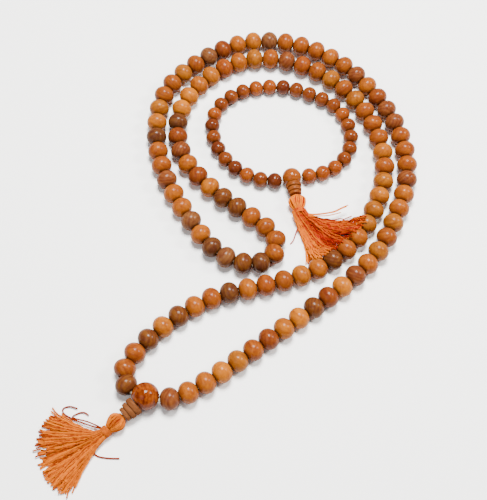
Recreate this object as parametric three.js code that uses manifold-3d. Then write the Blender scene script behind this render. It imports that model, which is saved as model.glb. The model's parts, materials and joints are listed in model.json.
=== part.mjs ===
// Two strings of turned wooden prayer beads, laid out on a table: a long mala of 108 beads and a
// wrist mala of 27. Each is closed by a guru bead with a ringed stem and a thread tassel.
// Millimetres, +Z up, table top at z = 0, origin under the middle of the whole layout.
import * as THREE from 'three';
import { mergeVertices } from 'three/addons/utils/BufferGeometryUtils.js';
import Module from 'manifold-3d';

const wasm = await Module();
wasm.setup();

// Driving dimensions. Diameters across flats, angles in degrees from +X.
const longMala = {
  name: 'long',
  beads: 108,
  bead: { diameter: 10, length: 8.25, endFlat: 4.4, band: 4 },
  cord: 1.5,
  guru: 12,
  stem: { length: 7, topDiameter: 8, footDiameter: 6.2, groove: 0.5, rings: 3 },
  stemHeading: 225,
  head: { diameter: 8, length: 8 },
  binding: { diameter: 5, length: 2.8, turns: 3 },
  skirt: { length: 32, sideLength: 25, spread: 80, neckThickness: 5, rimThickness: 2 },
  skirtHeading: 201,
  middle: [0, 0],
  route: [
    [-53, -98], [-61.5, -95], [-64.5, -88], [-61, -80.5], [-48.5, -65.5], [-26, -49.5], [-9.5, -44.5],
    [15, -36], [29.5, -26.5], [41, -13], [51, 11], [53, 27], [46.5, 52], [31.5, 72], [11, 84.5],
    [-14.5, 87], [-37, 73], [-49.5, 51.5], [-47, 26], [-30.5, 6.5], [-9, -9], [1.5, -18.5], [1, -27],
    [-8, -32.5], [-24.5, -28.5], [-39, -12], [-54, 13], [-60.5, 38], [-57.5, 64], [-40.5, 84.5],
    [-18.5, 97.5], [8, 98], [32, 86.5], [49.5, 67.5], [61, 45], [64, 20], [57.5, -3.5], [46, -26.5],
    [0.5, -67.5], [-42.5, -99],
  ],
};
const wristMala = {
  name: 'wrist',
  beads: 27,
  bead: { diameter: 7.7, length: 6.6, endFlat: 2.4, band: 3 },
  cord: 0.9,
  guru: 9.2,
  stem: { length: 6.4, topDiameter: 7.4, footDiameter: 5.8, groove: 0.5, rings: 2 },
  stemHeading: 282,
  head: { diameter: 8.6, length: 7.8 },
  binding: { diameter: 5.6, length: 2.2, turns: 3 },
  skirt: { length: 29, sideLength: 25, spread: 62, neckThickness: 4.4, rimThickness: 1.4 },
  skirtHeading: 325,
  middle: [2, 42],
  route: [
    [7.5, 16], [15.5, 17.5], [28.5, 22.5], [36.5, 35.5], [35, 50], [28.5, 60.5], [17.5, 66], [4, 70.5],
    [-10, 69.5], [-23, 64], [-32, 53], [-32.5, 39], [-26, 25.5], [-15, 16.5], [-1, 13.5],
  ],
};

// The long mala's beads are strung in runs; a run ends after each of these beads.
const runEnds = [3, 6, 9, 17, 24, 32, 40, 48, 56, 65, 74, 83, 92, 101, 104, 107, 108];
// The wrist mala folds after these two beads, so its cord is in two lengths.
const wristFoldAfter = [6, 20];

// Clearances, and the layout's closest approaches as drawn by the two routes above.
const pieceGap = 0.3; // between two pieces that touch on the real string
const boreClearance = 0.35; // all round the cord, in every bore
const guruBend = 1.04; // line taken up by a guru bead beside its diameter, as the cord bends inside it
const closestStrands = 10.35; // two strands of the long mala, centre to centre
const closestLoops = 10.5; // the wrist mala's strand beside the long mala's

// Roundness of the turned pieces.
const beadSides = 8;
const turnedSides = 12;
const curveDivisions = 6000;
const tangentStep = 0.2; // a direction is read over this much line on either side
const ringEdge = 0.25; // share of a stem ring taken by each of its sloping edges
const headFullness = 0.8; // below 1 the wound ball is fuller than a sphere
const bindingValley = 0.86; // width between two turns of thread, beside the width over them
const rimShoulder = { reach: 0.95, width: 0.8, middleWidth: 0.4 }; // the skirt rim's curve

const wood = { light: 0xc98a4b, tan: 0xb87a45, orange: 0xb8642c, brown: 0x8f5230, dark: 0x6e3a22 };
const woodTones = [wood.orange, wood.tan, wood.brown, wood.light, wood.orange, wood.dark];
const cottonOrange = 0xf08a1c;
const cordWhite = 0xe6ded2;

const up = new THREE.Vector3(0, 0, 1);
const boreDiameter = (mala) => mala.cord + 2 * boreClearance;
const acrossFlats = (diameter, sides) => diameter / 2 / Math.cos(Math.PI / sides);

// Routes: the loops as drawn, opened out when larger or longer beads need more room.
const drawnCurve = (mala) => new THREE.CatmullRomCurve3(
  mala.route.map(([x, y]) => new THREE.Vector3(x, y, 0)), true, 'centripetal');
const guruPassage = (mala) => mala.guru * guruBend + 2 * pieceGap;
const strungLength = (mala) => mala.beads * (mala.bead.length + pieceGap) + guruPassage(mala);
const lengthScale = (mala) => Math.max(1, strungLength(mala) / drawnCurve(mala).getLength());
wristMala.scale = lengthScale(wristMala);
longMala.scale = Math.max(
  wristMala.scale,
  lengthScale(longMala),
  (longMala.bead.diameter + pieceGap) / closestStrands,
  ((longMala.bead.diameter + wristMala.bead.diameter) / 2 + pieceGap) / closestLoops,
);

// The wrist mala keeps its place in the long one's layout when only the long one is opened out.
function laidPoint(mala, [x, y]) {
  const [middleX, middleY] = mala.middle;
  const laidX = middleX * longMala.scale + (x - middleX) * mala.scale;
  const laidY = middleY * longMala.scale + (y - middleY) * mala.scale;
  return new THREE.Vector3(laidX, laidY, 0);
}

// A mala's cord line: distance 0 is the middle of the guru bead.
function stringOf(mala) {
  const beadHeight = mala.bead.diameter / 2;
  const points = mala.route.map((point) => laidPoint(mala, point).setZ(beadHeight));
  points[0].z = mala.guru / 2;
  const curve = new THREE.CatmullRomCurve3(points, true, 'centripetal');
  curve.arcLengthDivisions = curveDivisions;
  const length = curve.getLength();
  const pitch = (length - guruPassage(mala)) / mala.beads;
  const share = (distance) => ((distance / length) % 1 + 1) % 1;
  const pointAt = (distance) => {
    const point = curve.getPointAt(share(distance));
    point.z = Math.max(point.z, beadHeight); // no bead sinks into the table
    return point;
  };
  const junction = (bead) => guruPassage(mala) / 2 + bead * pitch; // between this bead and the next
  return { mala, length, pitch, pointAt, junction };
}

function basisAt(origin, tangent) {
  const along = tangent.clone().normalize();
  const side = new THREE.Vector3().crossVectors(along, up).normalize();
  const above = new THREE.Vector3().crossVectors(side, along);
  return new THREE.Matrix4().makeBasis(side, along, above).setPosition(origin);
}

function frameOn(string, distance) {
  const tangent = string.pointAt(distance + tangentStep).sub(string.pointAt(distance - tangentStep));
  return basisAt(string.pointAt(distance), tangent);
}

// Closed meshes and boolean cuts.
function closed(geometry) {
  geometry.deleteAttribute('normal');
  geometry.deleteAttribute('uv');
  return mergeVertices(geometry, 1e-4);
}

function toSolid(geometry) {
  const merged = closed(geometry.clone());
  return new wasm.Manifold(new wasm.Mesh({
    numProp: 3,
    vertProperties: new Float32Array(merged.attributes.position.array),
    triVerts: new Uint32Array(merged.index.array),
  }));
}

function cut(geometry, ...tools) {
  const result = tools.reduce((solid, tool) => solid.subtract(toSolid(tool)), toSolid(geometry));
  const mesh = result.getMesh();
  const made = new THREE.BufferGeometry();
  made.setAttribute('position', new THREE.BufferAttribute(mesh.vertProperties, 3));
  made.setIndex(new THREE.BufferAttribute(mesh.triVerts, 1));
  return made;
}

// A turned piece about +Y from its outline of [diameter, y] pairs, each across the flats.
function turned(outline, sides) {
  const points = outline.map(([diameter, y]) => new THREE.Vector2(acrossFlats(diameter, sides), y));
  const geometry = new THREE.LatheGeometry(points, sides, Math.PI / sides);
  return closed(geometry);
}

// A straight row of beads with one bore through it, from y = 0 to count * pitch.
function beadRow(mala, count, pitch) {
  const { diameter, length, endFlat, band } = mala.bead;
  const bore = boreDiameter(mala);
  const endGap = (pitch - length) / 2;
  const rowLength = count * pitch;
  const outline = [[bore, endGap], [endFlat, endGap]];
  for (let bead = 0; bead < count; bead += 1) {
    const middle = (bead + 0.5) * pitch;
    if (bead > 0) outline.push([endFlat, bead * pitch]);
    outline.push([diameter, middle - band / 2], [diameter, middle + band / 2]);
  }
  outline.push([endFlat, rowLength - endGap], [bore, rowLength - endGap]);
  for (let bead = count - 1; bead > 0; bead -= 1) outline.push([bore, bead * pitch]);
  outline.push([bore, endGap]);
  return turned(outline, beadSides);
}

// Carries a straight row onto the cord line, section by section. Each section sits on the cord,
// which is straight between two junctions, and faces along the curve.
function bendOnto(string, geometry, beadsBefore) {
  const position = geometry.attributes.position;
  const vertex = new THREE.Vector3();
  for (let i = 0; i < position.count; i += 1) {
    vertex.fromBufferAttribute(position, i);
    const place = beadsBefore + vertex.y / string.pitch;
    const bead = Math.floor(place);
    const onCord = string.pointAt(string.junction(bead));
    onCord.lerp(string.pointAt(string.junction(bead + 1)), place - bead);
    vertex.setY(0).applyMatrix4(frameOn(string, string.junction(place)).setPosition(onCord));
    position.setXYZ(i, vertex.x, vertex.y, vertex.z);
  }
  return geometry;
}

// A cord runs straight through each bead and bends where two beads meet.
class ThreadedLine extends THREE.Curve {
  constructor(points) {
    super();
    this.points = points;
  }

  getPoint(t, target = new THREE.Vector3()) {
    const place = t * (this.points.length - 1);
    const first = Math.min(Math.floor(place), this.points.length - 2);
    return target.lerpVectors(this.points[first], this.points[first + 1], place - first);
  }

  getPointAt(u, target) {
    return this.getPoint(u, target);
  }

  getTangentAt(u, target) {
    return this.getTangent(u, target);
  }
}

function cordThrough(points, diameter) {
  const section = new THREE.Shape();
  for (let side = 0; side < beadSides; side += 1) {
    const angle = (side / beadSides) * 2 * Math.PI;
    const corner = [Math.cos(angle) * diameter / 2, Math.sin(angle) * diameter / 2];
    if (side === 0) section.moveTo(...corner);
    else section.lineTo(...corner);
  }
  section.closePath();
  return closed(new THREE.ExtrudeGeometry(section, {
    steps: points.length - 1,
    extrudePath: new ThreadedLine(points),
  }));
}

const group = new THREE.Group();

function addPiece(name, geometry, color, roughness, parent = group) {
  const material = new THREE.MeshStandardMaterial({ color, roughness, metalness: 0 });
  const mesh = new THREE.Mesh(geometry, material);
  mesh.name = name;
  parent.add(mesh);
  return mesh;
}

// Long mala beads, in runs bent along the cord line.
function addBeadRuns(string) {
  let first = 1;
  runEnds.forEach((last, index) => {
    const row = beadRow(string.mala, last - first + 1, string.pitch);
    const name = last > first ? `long_beads_${first}_to_${last}` : `long_bead_${last}`;
    const tone = woodTones[index % woodTones.length];
    addPiece(name, bendOnto(string, row, first - 1), tone, 0.45);
    first = last + 1;
  });
}

// Wrist mala beads, each turned by itself and free to spin on the cord.
function addSingleBeads(string) {
  for (let bead = 1; bead <= string.mala.beads; bead += 1) {
    const from = string.pointAt(string.junction(bead - 1));
    const to = string.pointAt(string.junction(bead));
    const spare = (from.distanceTo(to) - string.mala.bead.length) / 2;
    const geometry = beadRow(string.mala, 1, string.mala.bead.length);
    const mesh = addPiece(`wrist_bead_${bead}`, geometry, wood.orange, 0.35);
    const direction = to.clone().sub(from).normalize();
    mesh.applyMatrix4(basisAt(from.addScaledVector(direction, spare), direction));
  }
}

// One length of cord, from the junction after bead `first` to the one after bead `last`. An end
// that enters the guru stops just short of its middle; an end at a fold stops just short of it.
function cordBetween(string, first, last) {
  const { mala } = string;
  const points = [];
  for (let bead = first; bead <= last; bead += 1) points.push(string.pointAt(string.junction(bead)));
  const endPoint = (outer, inner, entersGuru) => {
    if (!entersGuru) return outer.clone().lerp(inner, pieceGap / 2 / outer.distanceTo(inner));
    const middle = string.pointAt(0);
    return middle.clone().lerp(outer, (mala.cord / 2 + 2 * pieceGap) / middle.distanceTo(outer));
  };
  const start = endPoint(points[0], points[1], first === 0);
  const end = endPoint(points.at(-1), points.at(-2), last === mala.beads);
  const inner = points.slice(first === 0 ? 0 : 1, last === mala.beads ? undefined : -1);
  return [start, ...inner, end];
}

// The stem leaves the guru as drawn, or leans away from the first bead when the two need more room.
function stemHeadingOf(string) {
  const { mala } = string;
  const toFirstBead = string.pointAt(string.junction(0.5)).sub(string.pointAt(0));
  const room = (mala.bead.diameter + mala.stem.topDiameter) / 2 + pieceGap;
  const lean = Math.asin(Math.min(1, room / Math.hypot(toFirstBead.x, toFirstBead.y)));
  const beadHeading = Math.atan2(toFirstBead.y, toFirstBead.x);
  const drawn = THREE.MathUtils.degToRad(mala.stemHeading);
  const between = THREE.MathUtils.euclideanModulo(drawn - beadHeading, 2 * Math.PI);
  return between < Math.PI ? beadHeading + Math.max(between, lean) : drawn;
}

// The guru's pendant: stem, tassel head and binding, all turned about one axis that starts at the
// middle of the guru bead and drops just enough for the tassel head to lie on the table.
function pendantOf(string) {
  const { mala } = string;
  const seatDiameter = mala.stem.topDiameter - 2 * mala.stem.groove;
  const seatHeight = Math.sqrt((mala.guru / 2) ** 2 - (seatDiameter / 2) ** 2);
  const stemStart = seatHeight + pieceGap;
  const headStart = stemStart + mala.stem.length + pieceGap;
  const headMiddle = headStart + mala.head.length / 2;
  const bindingStart = headStart + mala.head.length + pieceGap;
  const heading = stemHeadingOf(string);
  const skirtTurn = Math.abs(THREE.MathUtils.degToRad(mala.skirtHeading) - heading);
  const turnedCorner = mala.binding.diameter / 2 * Math.sin(skirtTurn);
  const skirtStart = bindingStart + mala.binding.length + pieceGap + turnedCorner;
  const drop = Math.asin((mala.guru - mala.head.diameter) / 2 / headMiddle);
  const direction = new THREE.Vector3(
    Math.cos(heading) * Math.cos(drop), Math.sin(heading) * Math.cos(drop), -Math.sin(drop));
  return { mala, seatDiameter, stemStart, headStart, headMiddle, bindingStart, skirtStart, direction };
}

// A hole from the middle of a guru bead out through one side, along +Y.
function radialHole(mala) {
  const radius = acrossFlats(boreDiameter(mala), beadSides);
  const hole = new THREE.CylinderGeometry(radius, radius, mala.guru, beadSides);
  return hole.translate(0, mala.guru / 2 - radius, 0);
}

function guruBead(string, pendant) {
  const { mala } = string;
  const radius = mala.guru / 2;
  const outline = [[0, -radius]];
  const rings = 7;
  const lastRing = Math.PI - Math.asin(pendant.seatDiameter / mala.guru);
  for (let ring = 1; ring <= rings; ring += 1) {
    const angle = lastRing * (ring / rings);
    outline.push([2 * radius * Math.sin(angle), -radius * Math.cos(angle)]);
  }
  outline.push([0, outline.at(-1)[1]]);
  const middle = string.pointAt(0);
  const toGuru = basisAt(middle, pendant.direction).invert();
  const holes = [string.junction(0), string.junction(mala.beads)].map((distance) => {
    const aim = basisAt(middle, string.pointAt(distance).sub(middle));
    return radialHole(mala).applyMatrix4(aim.premultiply(toGuru));
  });
  return cut(turned(outline, turnedSides), radialHole(mala), ...holes);
}

// Rounded rings that step down in width from the guru to the tassel, bored for the cord.
function ringedStem(mala) {
  const { length, topDiameter, footDiameter, groove, rings } = mala.stem;
  const bore = boreDiameter(mala);
  const ringLength = length / rings;
  const widthAt = (y) => topDiameter + (footDiameter - topDiameter) * (y / length);
  const outline = [[bore, 0]];
  for (let ring = 0; ring < rings; ring += 1) {
    const from = ring * ringLength;
    const to = from + ringLength;
    outline.push([widthAt(from) - 2 * groove, from]);
    outline.push([widthAt(from), from + ringLength * ringEdge]);
    outline.push([widthAt(to), to - ringLength * ringEdge]);
  }
  outline.push([footDiameter - 2 * groove, length], [bore, length], [bore, 0]);
  return turned(outline, turnedSides);
}

// A wound ball of thread with a blind hole for the cord's knot.
function tasselHead(mala) {
  const { diameter, length } = mala.head;
  const bore = boreDiameter(mala);
  const outline = [[0, length / 2], [bore, length / 2], [bore, 0]];
  const rings = 6;
  for (let ring = 1; ring < rings; ring += 1) {
    const angle = (ring / rings) * Math.PI;
    const width = Math.max(diameter * Math.sin(angle) ** headFullness, bore + 2 * pieceGap);
    outline.push([width, length / 2 * (1 - Math.cos(angle))]);
  }
  outline.push([0, length]);
  return turned(outline, turnedSides);
}

// Turns of thread wound round the tassel's neck.
function threadBinding(mala) {
  const { diameter, length, turns } = mala.binding;
  const turn = length / turns;
  const valley = diameter * bindingValley;
  const outline = [[0, 0]];
  for (let i = 0; i < turns; i += 1) {
    outline.push([valley, i * turn], [diameter, (i + 0.5) * turn]);
  }
  outline.push([valley, length], [0, length]);
  return turned(outline, turnedSides);
}

// The skirt as one flat-bottomed fan: x runs along its middle, and it thins towards the rim.
function tasselSkirt(mala) {
  const { length, sideLength, spread, neckThickness, rimThickness } = mala.skirt;
  const half = THREE.MathUtils.degToRad(spread / 2);
  const neck = mala.binding.diameter / 2;
  const cornerX = sideLength * Math.cos(half);
  const cornerY = neck + sideLength * Math.sin(half);
  const shoulderX = length * rimShoulder.reach;
  const shoulderY = cornerY * rimShoulder.width;
  const middleY = cornerY * rimShoulder.middleWidth;
  const fan = new THREE.Shape();
  fan.moveTo(0, -neck);
  fan.lineTo(cornerX, -cornerY);
  fan.bezierCurveTo(shoulderX, -shoulderY, length, -middleY, length, 0);
  fan.bezierCurveTo(length, middleY, shoulderX, shoulderY, cornerX, cornerY);
  fan.lineTo(0, neck);
  fan.closePath();
  const flat = { depth: 1, bevelEnabled: false, curveSegments: 10 };
  const geometry = closed(new THREE.ExtrudeGeometry(fan, flat));
  const position = geometry.attributes.position;
  for (let i = 0; i < position.count; i += 1) {
    const reach = Math.min(Math.hypot(position.getX(i), position.getY(i)) / length, 1);
    const thickness = THREE.MathUtils.lerp(neckThickness, rimThickness, reach);
    position.setZ(i, position.getZ(i) * thickness);
  }
  return geometry;
}

function addPendant(string, skirtLift) {
  const { mala } = string;
  const pendant = pendantOf(string);
  const axis = new THREE.Group();
  axis.applyMatrix4(basisAt(string.pointAt(0), pendant.direction));
  group.add(axis);
  addPiece(`${mala.name}_guru_bead`, guruBead(string, pendant), wood.dark, 0.25, axis);
  const stem = addPiece(`${mala.name}_guru_stem`, ringedStem(mala), wood.tan, 0.6, axis);
  stem.position.y = pendant.stemStart;
  const head = addPiece(`${mala.name}_tassel_head`, tasselHead(mala), cottonOrange, 0.85, axis);
  head.position.y = pendant.headStart;
  const binding = addPiece(`${mala.name}_tassel_binding`, threadBinding(mala), cottonOrange, 0.85, axis);
  binding.position.y = pendant.bindingStart;

  const cordStart = mala.cord + pieceGap; // clear of the main cord's two ends
  const cordEnd = pendant.headMiddle - pieceGap;
  const cordLine = [cordStart, (cordStart + cordEnd) / 2, cordEnd].map((y) => new THREE.Vector3(0, y, 0));
  addPiece(`${mala.name}_tassel_cord`, cordThrough(cordLine, mala.cord), cordWhite, 0.9, axis);

  const leanBack = mala.skirt.neckThickness * Math.sin(skirtLift);
  const neck = string.pointAt(0).addScaledVector(pendant.direction, pendant.skirtStart + leanBack);
  const skirt = addPiece(`${mala.name}_tassel_skirt`, tasselSkirt(mala), cottonOrange, 0.85);
  skirt.rotation.set(0, -skirtLift, THREE.MathUtils.degToRad(mala.skirtHeading), 'ZYX');
  skirt.position.set(neck.x, neck.y, skirtLift ? neck.z - mala.skirt.neckThickness / 2 : 0);
  return pendant;
}

const longString = stringOf(longMala);
const wristString = stringOf(wristMala);

addBeadRuns(longString);
const longLine = cordBetween(longString, 0, longMala.beads);
addPiece('long_cord', cordThrough(longLine, longMala.cord), cordWhite, 0.9);
addPendant(longString, 0);

addSingleBeads(wristString);
const [foldOut, foldBack] = wristFoldAfter;
[['right', 0, foldOut], ['far', foldOut, foldBack], ['left', foldBack, wristMala.beads]].forEach(
  ([side, first, last]) => {
    const line = cordBetween(wristString, first, last);
    addPiece(`wrist_cord_${side}`, cordThrough(line, wristMala.cord), cordWhite, 0.9);
  });

// The wrist tassel's skirt climbs from its neck over the nearest bead of the long mala.
function slopeOver(neck, string) {
  const beadRadius = string.mala.bead.diameter / 2;
  let nearest = Infinity;
  for (let bead = 1; bead <= string.mala.beads; bead += 1) {
    const middle = string.pointAt(string.junction(bead - 0.5));
    nearest = Math.min(nearest, Math.hypot(middle.x - neck.x, middle.y - neck.y));
  }
  const rise = beadRadius - neck.z;
  return Math.atan2(rise, nearest) + Math.asin((beadRadius + pieceGap) / Math.hypot(nearest, rise));
}

const wristPendant = pendantOf(wristString);
const wristNeck = wristString.pointAt(0).addScaledVector(wristPendant.direction, wristPendant.skirtStart);
wristNeck.z -= wristMala.skirt.neckThickness / 2;
addPendant(wristString, slopeOver(wristNeck, longString));

// Origin under the middle of the layout.
group.updateMatrixWorld(true);
const extent = new THREE.Box3().setFromObject(group, true);
const middle = extent.getCenter(new THREE.Vector3());
group.position.set(-middle.x, -middle.y, -extent.min.z);

export default group;
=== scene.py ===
import json
import math
import random

import bpy
import numpy as np
from mathutils import Matrix, Vector


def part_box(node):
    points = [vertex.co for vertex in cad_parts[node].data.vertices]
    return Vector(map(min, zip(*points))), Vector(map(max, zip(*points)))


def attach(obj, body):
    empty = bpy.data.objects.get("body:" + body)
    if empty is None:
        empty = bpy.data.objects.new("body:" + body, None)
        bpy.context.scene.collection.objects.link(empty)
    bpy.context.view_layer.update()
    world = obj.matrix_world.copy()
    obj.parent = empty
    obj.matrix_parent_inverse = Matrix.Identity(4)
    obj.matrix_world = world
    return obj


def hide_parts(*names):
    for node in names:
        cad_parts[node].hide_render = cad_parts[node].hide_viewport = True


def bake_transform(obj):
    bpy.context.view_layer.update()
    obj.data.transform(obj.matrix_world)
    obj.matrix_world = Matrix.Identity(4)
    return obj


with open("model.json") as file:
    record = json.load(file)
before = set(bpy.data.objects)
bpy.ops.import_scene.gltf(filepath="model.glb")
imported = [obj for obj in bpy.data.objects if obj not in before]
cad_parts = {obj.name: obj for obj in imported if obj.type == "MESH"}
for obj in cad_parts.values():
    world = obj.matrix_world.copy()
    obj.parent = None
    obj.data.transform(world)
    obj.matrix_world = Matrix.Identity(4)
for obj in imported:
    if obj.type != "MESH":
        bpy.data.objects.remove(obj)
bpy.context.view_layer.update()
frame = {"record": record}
random.seed(108)
mm = 0.001
pieceGap = 0.3 * mm
guruBend = 1.04  # the string's bend inside a guru takes a little more than the guru's width
upward = Vector((0, 0, 1))
print("frame loaded")

# the two strings, laid out as the CAD part has them
longMala = {
    "name": "long", "beads": 108, "beadDiameter": 10 * mm, "beadLength": 8.5 * mm, "bore": 2.2 * mm,
    "cord": 1.5 * mm, "guru": 12 * mm,
    "route": [
        (-.053, -.098), (-.0615, -.095), (-.0645, -.088), (-.061, -.0805), (-.0485, -.0655),
        (-.026, -.0495), (-.0095, -.0445), (.015, -.036), (.0295, -.0265), (.041, -.013), (.051, .011),
        (.053, .027), (.0465, .052), (.0315, .072), (.011, .0845), (-.0145, .087), (-.037, .073),
        (-.0495, .0515), (-.047, .026), (-.0305, .0065), (-.009, -.009), (.0015, -.0185), (.001, -.027),
        (-.008, -.0325), (-.0245, -.0285), (-.039, -.012), (-.054, .013), (-.0605, .038), (-.0575, .064),
        (-.0405, .0845), (-.0185, .0975), (.008, .098), (.032, .0865), (.0495, .0675), (.061, .045),
        (.064, .02), (.0575, -.0035), (.046, -.0265), (.0005, -.0675), (-.0425, -.099),
    ],
}
wristMala = {
    "name": "wrist", "beads": 27, "beadDiameter": 7.7 * mm, "beadLength": 7 * mm, "bore": 1.6 * mm,
    "cord": 0.9 * mm, "guru": 9.2 * mm,
    "route": [
        (.0075, .016), (.0155, .0175), (.0285, .0225), (.0365, .0355), (.035, .05), (.0285, .0605),
        (.0175, .066), (.004, .0705), (-.01, .0695), (-.023, .064), (-.032, .053), (-.0325, .039),
        (-.026, .0255), (-.015, .0165), (-.001, .0135),
    ],
}


def smoothLoop(points, steps=160):
    # closed centripetal Catmull-Rom line through the points
    line = []
    for index in range(len(points)):
        before, start, end, after = (points[(index + step) % len(points)] for step in (-1, 0, 1, 2))
        spanBefore, span, spanAfter = (
            math.sqrt((b - a).length) for a, b in ((before, start), (start, end), (end, after)))
        leave = (start - before) / spanBefore - (end - before) / (spanBefore + span) + (end - start) / span
        arrive = (end - start) / span - (after - start) / (span + spanAfter) + (after - end) / spanAfter
        leave, arrive = leave * span, arrive * span
        for step in range(steps):
            t = step / steps
            line.append(
                start * (2 * t**3 - 3 * t**2 + 1) + leave * (t**3 - 2 * t**2 + t)
                + end * (3 * t**2 - 2 * t**3) + arrive * (t**3 - t**2))
    return line


def strungLine(mala, shift=None):
    # where each bead ends and the next begins; the long cord's box gives both strings their place
    beadHeight = mala["beadDiameter"] / 2
    points = [Vector((x, y, beadHeight)) for x, y in mala["route"]]
    points[0].z = mala["guru"] / 2
    line = np.array(smoothLoop(points) + points[:1])
    run = np.concatenate([[0], np.cumsum(np.linalg.norm(np.diff(line, axis=0), axis=1))])
    line[:, 2] = np.maximum(line[:, 2], beadHeight)
    passage = mala["guru"] * guruBend + 2 * pieceGap
    pitch = (run[-1] - passage) / mala["beads"]
    stops = passage / 2 + pitch * np.arange(mala["beads"] + 1)
    joins = [Vector([np.interp(stop, run, line[:, axis]) for axis in range(3)]) for stop in stops]
    if shift is None:
        drawn = np.array(joins)
        low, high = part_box("long_cord")
        shift = (low + high) / 2 - Vector((drawn.min(0) + drawn.max(0)) / 2)
        shift.z = 0
    mala["joins"] = [join + shift for join in joins]
    mala["middle"] = points[0] + shift
    mala["shift"] = shift
    mala["cordLength"] = run[-1]
    return mala


strungLine(longMala)
strungLine(wristMala, longMala["shift"])
print("strings laid", round(longMala["cordLength"], 4), round(wristMala["cordLength"], 4))

# camera
view = {"place": (-14.19 * mm, -212.43 * mm, 374 * mm), "down": 63.1, "roll": -2.86, "lens": 64}


def addCamera():
    down, roll = math.radians(view["down"]), math.radians(view["roll"])
    toSide = Vector((math.cos(roll), -math.sin(roll) * math.sin(down), -math.sin(roll) * math.cos(down)))
    toTop = Vector((math.sin(roll), math.cos(roll) * math.sin(down), math.cos(roll) * math.cos(down)))
    turn = Matrix((toSide, toTop, toSide.cross(toTop))).transposed().to_4x4()
    camera = bpy.data.objects.new("camera", bpy.data.cameras.new("camera"))
    bpy.context.scene.collection.objects.link(camera)
    camera.matrix_world = Matrix.Translation(Vector(view["place"]) + longMala["shift"]) @ turn
    camera.data.lens = view["lens"]
    camera.data.clip_start = 0.01
    bpy.context.scene.camera = camera


addCamera()


# small helpers for shaping by hand
def letGo():
    if bpy.context.object and bpy.context.object.mode != "OBJECT":
        bpy.ops.object.mode_set(mode="OBJECT")
    bpy.ops.object.select_all(action="DESELECT")


def alongAxis(origin, direction, about=upward):
    # a matrix that carries local z onto direction
    z = direction.normalized()
    x = about.cross(z).normalized()
    return Matrix.Translation(origin) @ Matrix((x, z.cross(x), z)).transposed().to_4x4()


def finishPiece(piece, name, body, material, place=None):
    letGo()
    piece.name = piece.data.name = name
    if place:
        piece.data.transform(place)
    piece.data.materials.clear()
    piece.data.materials.append(material)
    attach(piece, body)
    return piece


def turnedPiece(outline, sides):
    # outline pairs are (radius, height); a ring is drawn out and widened station by station
    letGo()
    radius, height = outline[0]
    bpy.ops.mesh.primitive_circle_add(vertices=sides, radius=radius, location=(0, 0, height))
    piece = bpy.context.object
    bpy.ops.object.transform_apply(location=True, rotation=True, scale=True)
    bpy.ops.object.mode_set(mode="EDIT")
    bpy.ops.mesh.select_all(action="SELECT")
    for (radius, height), (nextRadius, nextHeight) in zip(outline, outline[1:]):
        bpy.ops.mesh.extrude_region_move(TRANSFORM_OT_translate={"value": (0, 0, nextHeight - height)})
        widen = nextRadius / radius
        bpy.ops.transform.resize(value=(widen, widen, 1), center_override=(0, 0, nextHeight))
    bpy.ops.mesh.select_all(action="DESELECT")
    bpy.ops.mesh.select_mode(type="EDGE")
    bpy.ops.mesh.select_non_manifold()
    bpy.ops.mesh.bridge_edge_loops()  # the inner wall, between the two ends of the outline
    bpy.ops.mesh.select_all(action="SELECT")
    bpy.ops.mesh.normals_make_consistent(inside=False)
    bpy.ops.object.mode_set(mode="OBJECT")
    return piece


def setAttribute(piece, name, kind, values):
    attribute = piece.data.attributes.get(name) or piece.data.attributes.new(name, kind, "POINT")
    field = "vector" if kind == "FLOAT_VECTOR" else "value"
    attribute.data.foreach_set(field, np.asarray(values, np.float32).ravel())


def strandPiece(lines, thickness, tones, resolution=0):
    # round strands along lines of points, as one mesh that knows each strand's tone and run
    letGo()
    curve = bpy.data.curves.new("strands", "CURVE")
    curve.dimensions = "3D"
    curve.bevel_depth = thickness / 2
    curve.bevel_resolution = resolution
    for line in lines:
        spline = curve.splines.new("POLY")
        spline.points.add(len(line) - 1)
        for point, place in zip(spline.points, line):
            point.co = (*place, 1)
    piece = bpy.data.objects.new("strands", curve)
    bpy.context.scene.collection.objects.link(piece)
    bpy.context.view_layer.objects.active = piece
    piece.select_set(True)
    bpy.ops.object.convert(target="MESH")
    sides = 4 + 2 * resolution
    piece = bpy.context.object
    tone, run = [], []
    for line, strandTone in zip(lines, tones):
        tone += [strandTone] * sides * len(line)
        run += [index / (len(line) - 1) for index in range(len(line)) for side in range(sides)]
    if len(tone) != len(piece.data.vertices):
        raise RuntimeError(f"strand count {len(tone)} is not {len(piece.data.vertices)}")
    setAttribute(piece, "strandTone", "FLOAT", tone)
    setAttribute(piece, "strandRun", "FLOAT", run)
    bpy.ops.object.mode_set(mode="EDIT")
    bpy.ops.mesh.select_all(action="DESELECT")
    bpy.ops.mesh.select_non_manifold()
    bpy.ops.mesh.fill_holes(sides=sides)  # closes both ends of each strand
    bpy.ops.mesh.select_all(action="SELECT")
    bpy.ops.mesh.normals_make_consistent(inside=False)
    bpy.ops.object.mode_set(mode="OBJECT")
    bpy.ops.object.shade_smooth_by_angle(angle=math.radians(60 if resolution else 89))
    return piece


# materials
def newGroup(name, inputs, outputs):
    tree = bpy.data.node_groups.new(name, "ShaderNodeTree")
    for label, kind, value in inputs:
        socket = tree.interface.new_socket(name=label, in_out="INPUT", socket_type=kind)
        if value is not None:
            socket.default_value = value
    for label, kind in outputs:
        tree.interface.new_socket(name=label, in_out="OUTPUT", socket_type=kind)
    return tree, tree.nodes.new("NodeGroupInput"), tree.nodes.new("NodeGroupOutput")


def addNode(tree, kind, settings=None, **values):
    node = tree.nodes.new(kind)
    for key, value in (settings or {}).items():
        setattr(node, key, value)
    for key, value in values.items():
        node.inputs[key.replace("_", " ")].default_value = value
    return node


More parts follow.
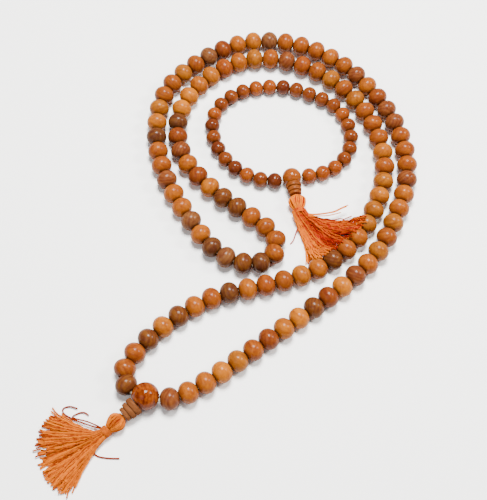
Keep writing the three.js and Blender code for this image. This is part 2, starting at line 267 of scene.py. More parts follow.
def mathNode(tree, operation, first, second=None, clamp=False):
    node = addNode(tree, "ShaderNodeMath", {"operation": operation, "use_clamp": clamp})
    for socket, value in zip(node.inputs, (first, second)):
        if value is None:
            continue
        if isinstance(value, (int, float)):
            socket.default_value = value
        else:
            tree.links.new(value, socket)
    return node.outputs[0]


def mixColor(tree, factor, first, second, blend="MIX"):
    node = addNode(tree, "ShaderNodeMix", {"data_type": "RGBA", "blend_type": blend})
    for socket, value in zip((node.inputs[0], node.inputs[6], node.inputs[7]), (factor, first, second)):
        if isinstance(value, (int, float, tuple)):
            socket.default_value = value
        else:
            tree.links.new(value, socket)
    return node.outputs[2]


def rescale(tree, value, fromLow, fromHigh, toLow, toHigh):
    node = addNode(tree, "ShaderNodeMapRange", None)
    tree.links.new(value, node.inputs[0])
    for socket, number in zip(list(node.inputs)[1:5], (fromLow, fromHigh, toLow, toHigh)):
        socket.default_value = number
    return node.outputs[0]


def shade(red, green, blue):
    # screen colour, 0 to 255, as the linear colour that nodes take
    def linear(value):
        value /= 255
        return value / 12.92 if value <= 0.04045 else ((value + 0.055) / 1.055) ** 2.4
    return linear(red), linear(green), linear(blue), 1


def turnedGrain():
    tree, given, made = newGroup(
        "turnedGrain",
        [("Place", "NodeSocketVector", None), ("Pale", "NodeSocketColor", None),
         ("Deep", "NodeSocketColor", None), ("Stripe", "NodeSocketFloat", 0.4)],
        [("Color", "NodeSocketColor"), ("Roughness", "NodeSocketFloat"), ("Height", "NodeSocketFloat")])
    link = tree.links.new
    alongGrain = addNode(tree, "ShaderNodeMapping", {"vector_type": "POINT"}, Scale=(1, 1, 0.2))
    link(given.outputs["Place"], alongGrain.inputs["Vector"])
    cloud = addNode(tree, "ShaderNodeTexNoise", None, Scale=0.42, Detail=4, Roughness=0.55, Distortion=0.7)
    streak = addNode(tree, "ShaderNodeTexNoise", None, Scale=2.4, Detail=3, Roughness=0.6, Distortion=0.3)
    pore = addNode(tree, "ShaderNodeTexNoise", None, Scale=7, Detail=2, Roughness=0.5)
    figure = addNode(
        tree, "ShaderNodeTexWave", {"wave_type": "BANDS", "bands_direction": "DIAGONAL"},
        Scale=0.28, Distortion=5, Detail=2, Detail_Scale=0.8)
    for texture in (cloud, streak, pore, figure):
        link(alongGrain.outputs["Vector"], texture.inputs["Vector"])
    stripes = mathNode(tree, "MULTIPLY", figure.outputs["Fac"], given.outputs["Stripe"])
    depth = mathNode(tree, "ADD", rescale(tree, cloud.outputs["Fac"], 0.36, 0.66, 0, 0.75), stripes)
    depth = mathNode(tree, "ADD", depth, rescale(tree, streak.outputs["Fac"], 0.3, 0.7, -0.16, 0.16), True)
    base = mixColor(tree, depth, given.outputs["Pale"], given.outputs["Deep"])
    poreMask = rescale(tree, pore.outputs["Fac"], 0.6, 0.72, 0, 0.35)
    link(mixColor(tree, poreMask, base, shade(38, 15, 4)), made.inputs["Color"])
    link(rescale(tree, streak.outputs["Fac"], 0.3, 0.7, 0.3, 0.42), made.inputs["Roughness"])
    height = mathNode(tree, "MULTIPLY", poreMask, -0.8)
    link(mathNode(tree, "ADD", height, mathNode(tree, "MULTIPLY", streak.outputs["Fac"], 0.3)),
         made.inputs["Height"])
    return tree


def woodMaterial(name, pale, deep, stripe=0.35, gloss=0.4, coatRoughness=0.22):
    material = bpy.data.materials.new(name)
    material.use_nodes = True
    tree = material.node_tree
    shader = tree.nodes["Principled BSDF"]
    place = addNode(tree, "ShaderNodeAttribute", {"attribute_name": "grainPlace"})
    end = addNode(tree, "ShaderNodeAttribute", {"attribute_name": "nearBore"})
    grain = addNode(tree, "ShaderNodeGroup", {"node_tree": grainGroup}, Pale=pale, Deep=deep, Stripe=stripe)
    tree.links.new(place.outputs["Vector"], grain.inputs["Place"])
    boreShadeMask = rescale(tree, end.outputs["Fac"], 0.82, 1, 0, 0.65)  # painted shade where the beads meet, darker round the bore, with some darkened finish
    finish = mixColor(tree, boreShadeMask, grain.outputs["Color"], shade(40, 16, 5))
    tree.links.new(finish, shader.inputs["Base Color"])
    tree.links.new(grain.outputs["Roughness"], shader.inputs["Roughness"])
    bump = addNode(tree, "ShaderNodeBump", None, Strength=0.25, Distance=0.05 * mm)
    tree.links.new(grain.outputs["Height"], bump.inputs["Height"])
    tree.links.new(bump.outputs["Normal"], shader.inputs["Normal"])
    shader.inputs["Specular IOR Level"].default_value = 0
    shader.inputs["Coat IOR"].default_value = 1.3
    shader.inputs["Coat Weight"].default_value = gloss
    shader.inputs["Coat Roughness"].default_value = coatRoughness
    return material


def twistedThread():
    tree, given, made = newGroup(
        "twistedThread",
        [("Pale", "NodeSocketColor", None), ("Deep", "NodeSocketColor", None),
         ("Turns", "NodeSocketFloat", 60.0)],
        [("Color", "NodeSocketColor"), ("Roughness", "NodeSocketFloat"), ("Height", "NodeSocketFloat")])
    link = tree.links.new
    tone = addNode(tree, "ShaderNodeAttribute", {"attribute_name": "strandTone"})
    run = addNode(tree, "ShaderNodeAttribute", {"attribute_name": "strandRun"})
    place = addNode(tree, "ShaderNodeTexCoord", None)
    fleck = addNode(tree, "ShaderNodeTexNoise", None, Scale=700, Detail=3, Roughness=0.6)
    link(place.outputs["Object"], fleck.inputs["Vector"])
    ply = mathNode(tree, "FRACT", mathNode(tree, "MULTIPLY", run.outputs["Fac"], given.outputs["Turns"]))
    plyShade = rescale(tree, mathNode(tree, "ABSOLUTE", mathNode(tree, "SUBTRACT", ply, 0.5)), 0, 0.5, 0, 1)
    flecks = rescale(tree, fleck.outputs["Fac"], 0.3, 0.7, -0.22, 0.22)
    depth = mathNode(tree, "ADD", tone.outputs["Fac"], flecks)
    depth = mathNode(tree, "ADD", depth, mathNode(tree, "MULTIPLY", plyShade, 0.12), True)
    link(mixColor(tree, depth, given.outputs["Pale"], given.outputs["Deep"]), made.inputs["Color"])
    link(rescale(tree, fleck.outputs["Fac"], 0.3, 0.7, 0.62, 0.85), made.inputs["Roughness"])
    link(mathNode(tree, "ADD", plyShade, mathNode(tree, "MULTIPLY", fleck.outputs["Fac"], 0.6)),
         made.inputs["Height"])
    return tree


def threadMaterial(name, pale, deep, turns, sheen=0):
    material = bpy.data.materials.new(name)
    material.use_nodes = True
    tree = material.node_tree
    shader = tree.nodes["Principled BSDF"]
    cotton = addNode(tree, "ShaderNodeGroup", {"node_tree": threadGroup}, Pale=pale, Deep=deep, Turns=turns)
    bump = addNode(tree, "ShaderNodeBump", None, Strength=0.5, Distance=0.08 * mm)
    tree.links.new(cotton.outputs["Color"], shader.inputs["Base Color"])
    tree.links.new(cotton.outputs["Roughness"], shader.inputs["Roughness"])
    tree.links.new(cotton.outputs["Height"], bump.inputs["Height"])
    tree.links.new(bump.outputs["Normal"], shader.inputs["Normal"])
    shader.inputs["Sheen Weight"].default_value = sheen
    shader.inputs["Sheen Roughness"].default_value = 0.4
    shader.inputs["Specular IOR Level"].default_value = 0.08
    return material


grainGroup = turnedGrain()
threadGroup = twistedThread()

# one finish for each tone of wood, by the letter that the strings below use: pale, deep, stripe
woodTones = {
    "y": (shade(162, 93, 15), shade(126, 63, 14), 0.15),  # pale honey
    "h": (shade(148, 83, 15), shade(115, 56, 14), 0.2),  # honey
    "t": (shade(136, 78, 15), shade(105, 53, 14), 0.25),  # tan
    "l": (shade(140, 75, 15), shade(109, 50, 14), 0.2),  # light orange
    "o": (shade(129, 66, 15), shade(100, 43, 14), 0.2),  # orange
    "d": (shade(126, 61, 15), shade(97, 40, 14), 0.2),  # deep orange
    "b": (shade(126, 65, 15), shade(97, 43, 14), 0.3),  # orange brown
    "r": (shade(110, 53, 15), shade(85, 34, 14), 0.3),  # red orange
    "k": (shade(110, 60, 26), shade(85, 39, 19), 0.5),  # red brown
    "n": (shade(95, 54, 19), shade(73, 35, 17), 0.45),  # brown
    "x": (shade(85, 50, 21), shade(65, 32, 18), 0.5),  # dark brown
    "g": (shade(106, 66, 33), shade(82, 43, 24), 0.4),  # grey tan
}
longWood = {
    letter: woodMaterial(f"longWood_{letter}", pale, deep, stripe)
    for letter, (pale, deep, stripe) in woodTones.items()}
wristWood = {
    "a": woodMaterial("wristWood_a", shade(128, 62, 15), shade(99, 41, 14), 0.2, 0.5, 0.12),
    "b": woodMaterial("wristWood_b", shade(107, 52, 15), shade(82, 34, 14), 0.3, 0.5, 0.12),
    "c": woodMaterial("wristWood_c", shade(89, 41, 15), shade(68, 26, 14), 0.3, 0.5, 0.12),
}
guruWood = {
    "long": woodMaterial("longGuruWood", shade(128, 60, 12), shade(70, 18, 4), 0.3, 0.45, 0.06),
    "wrist": woodMaterial("wristGuruWood", shade(129, 66, 15), shade(108, 49, 14), 0.3, 0.7, 0.1),
}
stemWood = {
    "long": woodMaterial("longStemWood", shade(106, 64, 36), shade(82, 44, 20), 0.3, 0.05, 0.4),
    "wrist": woodMaterial("wristStemWood", shade(116, 62, 24), shade(88, 40, 12), 0.3, 0.2, 0.3),
}
saffronThread = threadMaterial("saffronThread", shade(190, 98, 0), shade(112, 30, 0), 14)
vermilionThread = threadMaterial("vermilionThread", shade(204, 106, 0), shade(140, 22, 0), 14)
whiteCord = threadMaterial("whiteCord", shade(196, 182, 160), shade(160, 144, 120), 400, 0.15)
print("materials made")

bodyOf = {
    node: body for body, nodes in frame["record"]["behaviour"]["bodies"].items() for node in nodes}


# beads
turning = {"endFlat": 1.25, "rimEase": 0.22 * mm, "rimSteps": 2, "sizeSpread": 0.012, "grainPlaces": 60}


def beadMaster(mala, sides, rings):
    # a ball cut off and bored at both ends, its rims eased
    letGo()
    radius, boreRadius = mala["beadDiameter"] / 2, mala["bore"] / 2
    bpy.ops.mesh.primitive_uv_sphere_add(segments=sides, ring_count=rings, radius=radius)
    bead = bpy.context.object
    cutHeight = math.sqrt(radius**2 - (boreRadius * turning["endFlat"]) ** 2)
    bpy.ops.object.mode_set(mode="EDIT")
    for side in (-1, 1):
        bpy.ops.mesh.select_all(action="SELECT")
        bpy.ops.mesh.bisect(
            plane_co=(0, 0, side * cutHeight), plane_no=(0, 0, side), clear_outer=True, threshold=1e-6)
    bpy.ops.mesh.select_all(action="SELECT")
    bpy.ops.transform.resize(value=(1, 1, mala["beadLength"] / (2 * cutHeight)), center_override=(0, 0, 0))
    bpy.ops.mesh.select_mode(type="EDGE")
    bpy.ops.mesh.select_all(action="DESELECT")
    bpy.ops.mesh.select_non_manifold()
    bpy.ops.mesh.bridge_edge_loops()
    bpy.ops.object.mode_set(mode="OBJECT")
    level = 0.01 * mm
    for edge in bead.data.edges:
        ends = [bead.data.vertices[index].co for index in edge.vertices]
        onRim = all(abs(abs(end.z) - mala["beadLength"] / 2) < level for end in ends)
        edge.select = onRim and abs(ends[0].z - ends[1].z) < level
    bpy.ops.object.mode_set(mode="EDIT")
    bpy.ops.mesh.bevel(offset=turning["rimEase"], segments=turning["rimSteps"])
    bpy.ops.mesh.select_all(action="SELECT")
    bpy.ops.mesh.normals_make_consistent(inside=False)
    bpy.ops.object.mode_set(mode="OBJECT")
    bpy.ops.object.shade_smooth()
    return bead


def giveGrain(piece, halfLength):
    # each piece is cut from its own bit of wood: the grain runs across the bore at its own angle
    rest = np.zeros(len(piece.data.vertices) * 3, np.float32)
    piece.data.vertices.foreach_get("co", rest)
    rest = rest.reshape(-1, 3)
    spin = Matrix.Rotation(random.uniform(0, math.tau), 3, "Z")
    lean = Matrix.Rotation(random.uniform(0.9, 1.6), 3, "X")
    far = turning["grainPlaces"]
    start = np.array([random.uniform(-far, far) for axis in range(3)])
    setAttribute(piece, "grainPlace", "FLOAT_VECTOR", rest / mm @ np.array(spin @ lean) + start)
    # nearBore drives the painted shade round each bore, where the beads meet
    setAttribute(piece, "nearBore", "FLOAT", np.abs(rest[:, 2]) / halfLength)


def strungBead(master, mala, number, name, body, material):
    start, end = mala["joins"][number - 1], mala["joins"][number]
    bead = master.copy()
    bead.data = master.data.copy()
    bpy.context.scene.collection.objects.link(bead)
    giveGrain(bead, mala["beadLength"] / 2)
    bead.data.transform(Matrix.Rotation(random.uniform(0, math.tau), 4, "Z"))
    size = 1 - random.uniform(0, turning["sizeSpread"])  # hand-turned, no two quite alike
    bead.data.transform(Matrix.Diagonal((size, size, 1, 1)))
    drop = Vector((0, 0, (1 - size) * mala["beadDiameter"] / 2))  # a smaller bead still meets the table
    place = alongAxis((start + end) / 2 - drop, end - start)
    return finishPiece(bead, name, body, material, place)


longBeads = {
    "sides": 32, "rings": 20,
    "tones": "nbonhnloxl" "dbhlnoltth" "tohoootbtb" "dkotldhlyy" "xrklrhnnob" "bbxngxlgll"
             "kooxhtbbtb" "grlhgooolb" "klrkkoookl" "ltbtlkyrny" "hrotyllk",
}
wristBeads = {"sides": 28, "rings": 18, "tones": "aaabbbbabbb" "bcaabbbacbc" "bcabc"}


def stringLongBeads():
    master = beadMaster(longMala, longBeads["sides"], longBeads["rings"])
    for node in [name for name in bodyOf if name.startswith("long_bead")]:
        numbers = [int(part) for part in node.split("_") if part.isdigit()]
        for number in range(numbers[0], numbers[-1] + 1):
            wood = longWood[longBeads["tones"][number - 1]]
            bead = strungBead(
                master, longMala, number, f"longBead_{number}", bodyOf[node], wood)
            if number == numbers[0]:
                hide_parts(node)
    bpy.data.objects.remove(master)


def stringWristBeads():
    master = beadMaster(wristMala, wristBeads["sides"], wristBeads["rings"])
    for number in range(1, wristMala["beads"] + 1):
        node = f"wrist_bead_{number}"
        wood = wristWood[wristBeads["tones"][number - 1]]
        bead = strungBead(
            master, wristMala, number, f"wristBead_{number}", bodyOf[node], wood)
        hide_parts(node)
    bpy.data.objects.remove(master)


stringLongBeads()
stringWristBeads()
print("beads strung")


# cords: straight through each bead, bending where two beads meet
threading = {
    "lap": 0.3, "intoGuru": 0.7, "tone": 0.4, "sides": 2,
    "inner": 0.98,  # a bending length is this much thinner, so that it hides inside the next
    "bendSteps": 4, "guruSteps": 6, "leave": 0.03,
}


def cordPiece(line, thickness):
    return strandPiece([line], thickness, [threading["tone"]], threading["sides"])


def cordStretch(mala, first, last, name, body):
    joins = mala["joins"]
    start = joins[first].lerp(joins[first + 1], threading["lap"])
    end = joins[last].lerp(joins[last - 1], threading["lap"])
    piece = cordPiece([start, *joins[first + 1:last], end], mala["cord"])
    return finishPiece(piece, name, body, whiteCord)


def cordAcrossFold(mala, join, name):
    # a short stretch with a bend where the string turns between two beads
    joins = mala["joins"]
    lap, steps = threading["lap"], threading["bendSteps"]
    start, end = joins[join].lerp(joins[join - 1], lap), joins[join].lerp(joins[join + 1], lap)
    line = [start.lerp(joins[join], step / steps) for step in range(steps)]
    line += [joins[join].lerp(end, step / steps) for step in range(steps + 1)]
    piece = cordPiece(line, mala["cord"] * threading["inner"])
    letGo()
    piece.name = piece.data.name = name
    piece.data.materials.append(whiteCord)
    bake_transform(piece)


def cordIntoGuru(mala, join, nextJoin):
    # from the last bead into the guru's side hole, with a bend between the two
    joins, name = mala["joins"], mala["name"]
    inBead, mouth = joins[join].lerp(joins[nextJoin], threading["lap"]), joins[join]
    depth = (mouth - mala["middle"]).length
    bendStart = mouth.lerp(joins[nextJoin], threading["leave"])
    bendEnd = mouth.lerp(mala["middle"], 1 - mala["guru"] / 2 / depth)
    steps = threading["guruSteps"]
    line = [inBead, bendStart] + [mouth.lerp(bendEnd, step / steps) for step in range(steps + 1)]
    line.append(mouth.lerp(mala["middle"], threading["intoGuru"]))
    piece = cordPiece(line, mala["cord"] * threading["inner"])
    letGo()
    piece.name = piece.data.name = f"{name}CordToGuru_{join}"
    piece.data.materials.append(whiteCord)
    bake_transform(piece)


longStretches = [
    (0, 3, "pendant_far"), (3, 6, "pendant_middle"), (6, 9, "pendant_near"), (9, 48, "long_loop"),
    (48, 56, "hairpin"), (56, 101, "long_loop"), (101, 104, "pendant_near"), (104, 107, "pendant_middle"),
    (107, 108, "pendant_far")]
wristStretches = [(0, 6, "wrist_loop"), (6, 20, "wrist_far_side"), (20, 27, "wrist_loop")]


def threadCords():
    for mala, stretches in ((longMala, longStretches), (wristMala, wristStretches)):
        for index, (first, last, body) in enumerate(stretches):
            piece = cordStretch(mala, first, last, f"{mala['name']}Cord_{first}_to_{last}", body)
            if mala is longMala and index == 0:
                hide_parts("long_cord")
            if mala is wristMala:
                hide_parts(("wrist_cord_right", "wrist_cord_far", "wrist_cord_left")[index])
            if index:
                cordAcrossFold(mala, first, f"{mala['name']}CordBend_{first}")
        cordIntoGuru(mala, 0, 1)
        cordIntoGuru(mala, mala["beads"], mala["beads"] - 1)


threadCords()
print("cords threaded")


# guru beads, stems and tassels
longPendant = {
    "mala": longMala, "heading": 225, "guruSides": 48, "guruRings": 28, "seat": 7 * mm,
    "stemLength": 7 * mm, "rings": [(8.4, 2.6), (7.9, 2.2), (6.6, 1.9)],
    "headWidth": 8 * mm, "headLength": 8 * mm, "headStrands": 46, "headThread": 0.62 * mm,
    "bindWidth": 5 * mm, "bindLength": 2.8 * mm, "bindTurns": 6, "bindThread": 0.5 * mm,
    "skirtHeading": 200, "skirtSpread": 80, "reaches": (25 * mm, 30.5 * mm, 30 * mm),
    "strands": 300, "strandThickness": 0.66 * mm, "wave": 0.35 * mm, "curl": 0.4, "thread": saffronThread,
    "neckWidth": 4 * mm, "overlap": 0.8 * mm,
    "headTones": (0, 0.6), "skirtTones": ((-1, 0.4), (0, 0.45), (1, 0.2)), "toneSpread": 0.5,
}
wristPendant = {
    "mala": wristMala, "heading": 282, "guruSides": 40, "guruRings": 24, "seat": 6.4 * mm,
    "stemLength": 6.4 * mm, "rings": [(7.6, 2.2), (6.9, 2.2), (6.0, 1.6)],
    "headWidth": 8.6 * mm, "headLength": 7.8 * mm, "headStrands": 30, "headThread": 0.7 * mm,
    "bindWidth": 5.6 * mm, "bindLength": 2.2 * mm, "bindTurns": 4, "bindThread": 0.5 * mm,
    "skirtHeading": 325, "skirtSpread": 64, "reaches": (29 * mm, 27 * mm, 30 * mm),
    "strands": 340, "strandThickness": 0.56 * mm, "wave": 0.75 * mm, "curl": 0.6, "thread": vermilionThread,
    "neckWidth": 6.4 * mm, "overlap": 1.9 * mm,
    "headTones": (0, 0.35), "skirtTones": ((-1, 0), (-0.7, 0.3), (-0.4, 0.8), (0.4, 0.85), (1, 0.6)),
    "toneSpread": 0.4,
}


def pendantAxis(pendant):
    mala = pendant["mala"]
    guruRadius = mala["guru"] / 2
    stemStart = math.sqrt(guruRadius**2 - (pendant["seat"] / 2) ** 2) + pieceGap
    headStart = stemStart + pendant["stemLength"] + pieceGap
    headMiddle = headStart + pendant["headLength"] / 2
    drop = math.asin((mala["guru"] - pendant["headWidth"]) / 2 / headMiddle)
    heading = math.radians(pendant["heading"])
    pendant["direction"] = Vector((
        math.cos(heading) * math.cos(drop), math.sin(heading) * math.cos(drop), -math.sin(drop)))
    pendant["stemStart"], pendant["headStart"] = stemStart, headStart
    pendant["bindStart"] = headStart + pendant["headLength"] + pieceGap
    pendant["skirtStart"] = pendant["bindStart"] + pendant["bindLength"]


def spot(pendant, distance):
    return pendant["mala"]["middle"] + pendant["direction"] * distance


def guruBead(pendant):
    mala = pendant["mala"]
    letGo()
    bpy.ops.mesh.primitive_uv_sphere_add(
        segments=pendant["guruSides"], ring_count=pendant["guruRings"], radius=mala["guru"] / 2)
    guru = bpy.context.object
    seatHeight = pendant["stemStart"] - pieceGap
    bpy.ops.object.mode_set(mode="EDIT")
    bpy.ops.mesh.select_all(action="SELECT")
    bpy.ops.mesh.bisect(
        plane_co=(0, 0, seatHeight), plane_no=(0, 0, 1), clear_outer=True, use_fill=True, threshold=1e-6)
    bpy.ops.object.mode_set(mode="OBJECT")
    place = alongAxis(mala["middle"], pendant["direction"])
    holes = [upward] + [
        (place.inverted() @ mala["joins"][end]).normalized() for end in (0, -1)]
    for toward in holes:
        letGo()
        bpy.ops.mesh.primitive_cylinder_add(
            vertices=20, radius=mala["bore"] / 2, depth=mala["guru"],
            location=toward * mala["guru"] * 0.42, rotation=toward.to_track_quat("Z", "Y").to_euler())
        drill = bpy.context.object
        letGo()
        bpy.context.view_layer.objects.active = guru
        guru.select_set(True)
        cut = guru.modifiers.new("bore", "BOOLEAN")
        cut.operation, cut.object = "DIFFERENCE", drill
        bpy.ops.object.modifier_apply(modifier=cut.name)
        bpy.data.objects.remove(drill)
    bpy.ops.object.shade_smooth_by_angle(angle=math.radians(35))
    giveGrain(guru, mala["guru"] * 4)
    name = mala["name"]
    finishPiece(guru, f"{name}GuruBead", f"{name}_guru", guruWood[name], place)
    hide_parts(f"{name}_guru_bead")


def ringedStem(pendant):
    # rounded rings, each a little narrower than the one before, with a groove between
    mala = pendant["mala"]
    outline = [(mala["bore"] / 2, 0)]
    height = 0
    scale = pendant["stemLength"] / sum(thickness * mm for width, thickness in pendant["rings"])
    for width, thickness in pendant["rings"]:
        radius, tall = width * mm / 2, thickness * mm * scale
        ease = tall * 0.42
        outline.append((radius - ease * 0.9, height))
        for step in range(1, 6):
            angle = math.pi * step / 6
            rounding = ease * 0.75 * (1 - math.sin(angle) ** 0.5)
            outline.append((radius - rounding, height + tall / 2 * (1 - math.cos(angle))))
        height += tall
        outline.append((radius - ease * 0.9, height))
    outline.append((mala["bore"] / 2, height))
    stem = turnedPiece(outline, 40)
    bpy.ops.object.shade_smooth_by_angle(angle=math.radians(50))
    giveGrain(stem, 1)
    name = mala["name"]
    place = alongAxis(spot(pendant, pendant["stemStart"]), pendant["direction"])
    finishPiece(stem, f"{name}GuruStem", f"{name}_guru", stemWood[name], place)
    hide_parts(f"{name}_guru_stem")


def headProfile(pendant, t):
    # half width of the tassel's head, from its top at t = 0 to its neck at t = 1
    top = math.sin(min(t / 0.42, 1) * math.pi / 2) ** 0.6
    waist = 1 - 0.5 * max(0, (t - 0.42) / 0.58) ** 1.7
    return pendant["headWidth"] / 2 * top * waist


def tasselHead(pendant):
    # a ball of looped threads over a plain core
    name = pendant["mala"]["name"]
    place = alongAxis(spot(pendant, pendant["headStart"]), pendant["direction"])
    thread, length = pendant["headThread"], pendant["headLength"]
    stations = [0.04, 0.1, 0.18, 0.3, 0.42, 0.55, 0.7, 0.85, 0.97]
    bore = pendant["mala"]["bore"] / 2
    outline = [(bore, 0.02 * length)]
    outline += [(max(headProfile(pendant, t) - thread, bore * 1.05), t * length) for t in stations]
    outline += [(bore, length)]
    core = turnedPiece(outline, 24)
    bpy.ops.object.shade_smooth()
    # the core takes a deep tone: painted shade seen between the head's strands
    setAttribute(core, "strandTone", "FLOAT", [0.9] * len(core.data.vertices))
    setAttribute(core, "strandRun", "FLOAT", [0.5] * len(core.data.vertices))
    finishPiece(core, f"{name}TasselCore", f"{name}_tassel", pendant["thread"], place)
    lines, tones = [], []
    for strand in range(pendant["headStrands"]):
        start = math.tau * (strand + random.uniform(-0.3, 0.3)) / pendant["headStrands"]
        lean = random.uniform(-0.35, 0.35)
        lift = random.uniform(-0.1, 0.25) * thread
        line = []
        for step in range(13):
            t = 0.02 + 0.98 * step / 12
            swell = lift * math.sin(math.pi * t)
            radius = max(headProfile(pendant, t) - thread / 2 + swell, bore + thread / 2)
            angle = start + lean * t + 0.05 * math.sin(9 * t + strand)
            line.append(place @ Vector((radius * math.cos(angle), radius * math.sin(angle), t * length)))
        lines.append([Vector((p.x, p.y, max(p.z, thread / 2))) for p in line])
        tones.append(random.uniform(*pendant["headTones"]))
    head = strandPiece(lines, thread, tones, 0)
    finishPiece(head, f"{name}TasselHead", f"{name}_tassel", pendant["thread"])
    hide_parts(f"{name}_tassel_head")


def tasselBinding(pendant):
    # thread wound round the neck in close turns
    name = pendant["mala"]["name"]
    place = alongAxis(spot(pendant, pendant["bindStart"]), pendant["direction"])
    thread, turns, length = pendant["bindThread"], pendant["bindTurns"], pendant["bindLength"]
    radius = pendant["bindWidth"] / 2
    line, steps = [], turns * 16
    for step in range(steps + 1):
        t = step / steps
        angle = math.tau * turns * t
        swell = radius * (0.9 + 0.1 * math.sin(math.pi * t))
        height = -0.1 * mm + length * t
        line.append(place @ Vector((swell * math.cos(angle), swell * math.sin(angle), height)))
    binding = strandPiece([line], thread, [0.55], 1)
    finishPiece(binding, f"{name}TasselBinding", f"{name}_tassel", pendant["thread"])
    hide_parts(f"{name}_tassel_binding")


def beadTops(place):
    # how high the long string's beads stand under a point
    radius = longMala["beadDiameter"] / 2
    highest = 0
    for start, end in zip(longMala["joins"], longMala["joins"][1:]):
        middle = (start + end) / 2
        away = math.hypot(place.x - middle.x, place.y - middle.y)
        if away < radius:
            highest = max(highest, radius + math.sqrt(radius**2 - away**2))
    return highest


fan = {
    "steps": 12, "openedBy": 0.3, "turnedBy": 0.25, "landedBy": 0.55,  # shares of a strand's length
    "pile": 2.2 * mm, "thinning": 0.55, "onBeads": 0.9 * mm, "clearOfTable": 1.6 * mm,
    "sweeps": 6, "slack": 0.12 * mm,
}


def skirtStrand(pendant, side, layer, reach):
    # side runs from -1 to 1 across the fan, layer from 0 at the table to 1 on top
    steps = fan["steps"]
    thickness = pendant["strandThickness"]
    neck = spot(pendant, pendant["skirtStart"])
    heading, half = math.radians(pendant["skirtHeading"]), math.radians(pendant["skirtSpread"] / 2)
    stemHeading = math.radians(pendant["heading"])
    across = Vector((-math.sin(stemHeading), math.cos(stemHeading), 0))
    neckRadius = pendant["neckWidth"] / 2
    place = neck - pendant["direction"] * pendant["overlap"] + across * side * neckRadius
    place.z += (layer - 0.5) * 2 * neckRadius * math.sqrt(max(0, 1 - side**2))
    place.z = max(place.z, thickness / 2)
    wave, beat = random.uniform(0.2, 1) * pendant["wave"], random.uniform(3.5, 6.5)
    phase, curl = random.uniform(0, math.tau), random.uniform(-1, 1) ** 3 * pendant["curl"]
    line, heights = [place.copy()], [place.z]
    for step in range(1, steps + 1):
        t = step / steps
        opened = min(t / fan["openedBy"], 1) * half * side
        turned = (heading - stemHeading) * min(t / fan["turnedBy"], 1)
        angle = stemHeading + turned + opened + curl * t * t
        place = place + Vector((math.cos(angle), math.sin(angle), 0)) * reach / steps
        crimp = wave * math.sin(beat * math.tau * t + phase) * min(t * 3, 1)
        shown = place + Vector((-math.sin(angle), math.cos(angle), 0)) * crimp
        settle = thickness / 2 + layer * fan["pile"] * (1 - fan["thinning"] * t)
        height = heights[0] + (settle - heights[0]) * min(t / fan["landedBy"], 1) ** 0.8
        heights.append(max(height, thickness / 2))
        line.append(shown)
    tops = [beadTops(point) + thickness / 2 + layer * fan["onBeads"] for point in line]
    tops = [top if top > fan["clearOfTable"] else 0 for top in tops]
    carried = [max(own, top) for own, top in zip(heights, tops)]
    for sweep in range(fan["sweeps"] if any(tops) else 0):
        # a strand held up by a bead slopes down evenly on both sides of it
        between = [(low + high) / 2 - fan["slack"] for low, high in zip(carried, carried[2:])]
        carried[1:-1] = [max(own, middle) for own, middle in zip(carried[1:-1], between)]
    for point, height in zip(line, carried):
        point.z = height
    return line


def tasselSkirt(pendant, strays):
    name = pendant["mala"]["name"]
    lines, tones = [], []
    for strand in range(pendant["strands"]):
        side = random.uniform(-1, 1)
        side = math.copysign(abs(side) ** 0.85, side)  # a little fuller at the fan's edges
        layer = random.random()
        reach = np.interp(side, (-1, 0, 1), pendant["reaches"]) * random.uniform(0.8, 1.02)
        lines.append(skirtStrand(pendant, side, layer, reach))
        usual = np.interp(side, *zip(*pendant["skirtTones"]))
        tones.append(min(1, max(0, usual + random.uniform(-1, 1) * pendant["toneSpread"])))
    for stray, tone in strays:
        lines.append(stray)
        tones.append(tone)
    skirt = strandPiece(lines, pendant["strandThickness"], tones, 0)
    finishPiece(skirt, f"{name}TasselSkirt", f"{name}_tassel", pendant["thread"])
    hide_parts(f"{name}_tassel_skirt")


def pendantCord(pendant):
    # through the guru and its stem, then a short bend into the tassel's head
    name, mala = pendant["mala"]["name"], pendant["mala"]
    stemEnd = pendant["stemStart"] + pendant["stemLength"]
    places = (mala["cord"], stemEnd / 2, stemEnd - 1.5 * mm)
    inside = cordPiece([spot(pendant, place) for place in places], mala["cord"])
    finishPiece(inside, f"{name}PendantCord", f"{name}_guru", whiteCord)
    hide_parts(f"{name}_tassel_cord")
    start, end = spot(pendant, stemEnd - 1.6 * mm), spot(pendant, pendant["headStart"] + 2.4 * mm)
    bend = cordPiece([start.lerp(end, step / 8) for step in range(9)], mala["cord"] * threading["inner"])
    letGo()
    bend.name = bend.data.name = f"{name}PendantCordBend"
    bend.data.materials.append(whiteCord)
    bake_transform(bend)


def laidLine(points, mala):
    # a stray strand through a few places on the table, eased into a curve
    shifted = [Vector(point) + mala["shift"] for point in points]
    line = []
    for index in range(len(shifted) - 1):
        before, after = shifted[max(index - 1, 0)], shifted[min(index + 2, len(shifted) - 1)]
        start, end = shifted[index], shifted[index + 1]
        for step in range(5):
            t = step / 5
            leave, arrive = (end - before) / 2, (after - start) / 2
            line.append(
                start * (2 * t**3 - 3 * t**2 + 1) + leave * (t**3 - 2 * t**2 + t)
                + end * (3 * t**2 - 2 * t**3) + arrive * (t**3 - t**2))
    return line + [shifted[-1]]


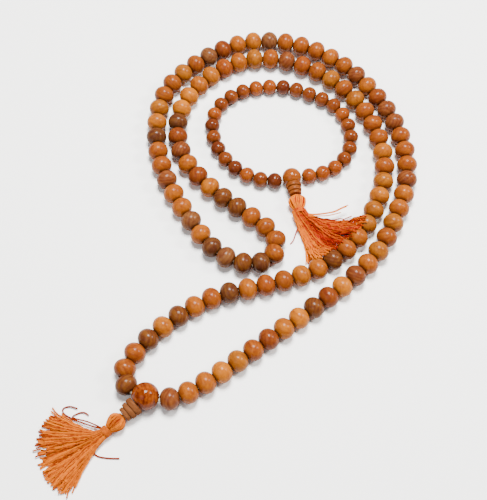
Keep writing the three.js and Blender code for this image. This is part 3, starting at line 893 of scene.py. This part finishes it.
longStrays = [
    ([(-.071, -.112, .0022), (-.080, -.1095, .0014), (-.0871, -.1063, .0006), (-.0882, -.1038, .0006),
      (-.0855, -.1027, .0008), (-.082, -.1035, .0010)], 1),
    ([(-.0705, -.1118, .0026), (-.0770, -.1092, .0018), (-.0836, -.1075, .0008), (-.0815, -.1055, .0008),
      (-.079, -.1050, .0008), (-.0769, -.1062, .0008)], 1),
    ([(-.0702, -.1135, .0012), (-.0730, -.1205, .0008), (-.0715, -.1232, .0006), (-.067, -.1240, .0006),
      (-.0618, -.1239, .0006)], 1),
]
wristStrays = [
    ([(.0135, -.0034, .0045), (.0175, -.0042, .0050), (.0213, -.0038, .0050), (.0252, -.0030, .0050),
      (.0285, -.0020, .0052), (.0319, -.0001, .0056), (.0347, .0011, .0060)], 0),
    ([(.0137, -.0042, .0046), (.0176, -.0048, .0052), (.0213, -.0044, .0053), (.0252, -.0035, .0053),
      (.0285, -.0026, .0055), (.0317, -.0008, .0058), (.0340, .0002, .0061)], 0),
    ([(.0138, -.0048, .0050), (.0177, -.0053, .0049), (.0214, -.0050, .0049), (.0251, -.0046, .0050),
      (.0283, -.0038, .0052), (.0312, -.0028, .0054)], 0.1),
    ([(.0125, -.006, .0030), (.0105, -.012, .0012), (.0092, -.0165, .0006), (.0078, -.0185, .0004)], 0.95),
]
for pendant, strays in ((longPendant, longStrays), (wristPendant, wristStrays)):
    pendantAxis(pendant)
    guruBead(pendant)
    ringedStem(pendant)
    pendantCord(pendant)
    tasselHead(pendant)
    tasselBinding(pendant)
    tasselSkirt(pendant, [(laidLine(points, pendant["mala"]), tone) for points, tone in strays])
    print(pendant["mala"]["name"], "pendant made")

# table and light
stage = {
    "tableSize": 6, "table": shade(248, 248, 246),
    "lights": [
        # place, size, watts, colour
        ((0.02, 0.22, 0.85), 0.34, 30, (1, 0.99, 0.97)),
        ((0.6, 0.15, 0.6), 0.22, 7, (1, 0.98, 0.95)),
        ((-0.5, -0.6, 0.9), 0.8, 5, (0.97, 0.98, 1)),
    ],
    "sky": (0.93, 0.96, 1), "skyStrength": 0.25,
}


def setStage():
    letGo()
    bpy.ops.mesh.primitive_plane_add(size=stage["tableSize"])
    table = bpy.context.object
    table.name = "table"
    material = bpy.data.materials.new("paleTable")
    material.use_nodes = True
    tree = material.node_tree
    shader = tree.nodes["Principled BSDF"]
    place = addNode(tree, "ShaderNodeTexCoord", None)
    cloud = addNode(tree, "ShaderNodeTexNoise", None, Scale=3, Detail=2)
    tree.links.new(place.outputs["Object"], cloud.inputs["Vector"])
    tint = mixColor(tree, cloud.outputs["Fac"], stage["table"], shade(252, 252, 251))
    tree.links.new(tint, shader.inputs["Base Color"])
    shader.inputs["Roughness"].default_value = 0.75
    table.data.materials.append(material)
    for index, (place, size, watts, color) in enumerate(stage["lights"]):
        lamp = bpy.data.lights.new(f"softLight_{index}", "AREA")
        lamp.shape = "DISK"
        lamp.size, lamp.energy, lamp.color = size, watts, color
        holder = bpy.data.objects.new(lamp.name, lamp)
        holder.location = place
        holder.rotation_euler = (Vector((0, 0, 0)) - Vector(place)).to_track_quat("-Z", "Y").to_euler()
        bpy.context.scene.collection.objects.link(holder)
    world = bpy.data.worlds.new("paleRoom")
    world.use_nodes = True
    background = world.node_tree.nodes["Background"]
    background.inputs["Color"].default_value = (*stage["sky"], 1)
    background.inputs["Strength"].default_value = stage["skyStrength"]
    bpy.context.scene.world = world


setStage()
print("stage set")

bpy.context.view_layer.update()
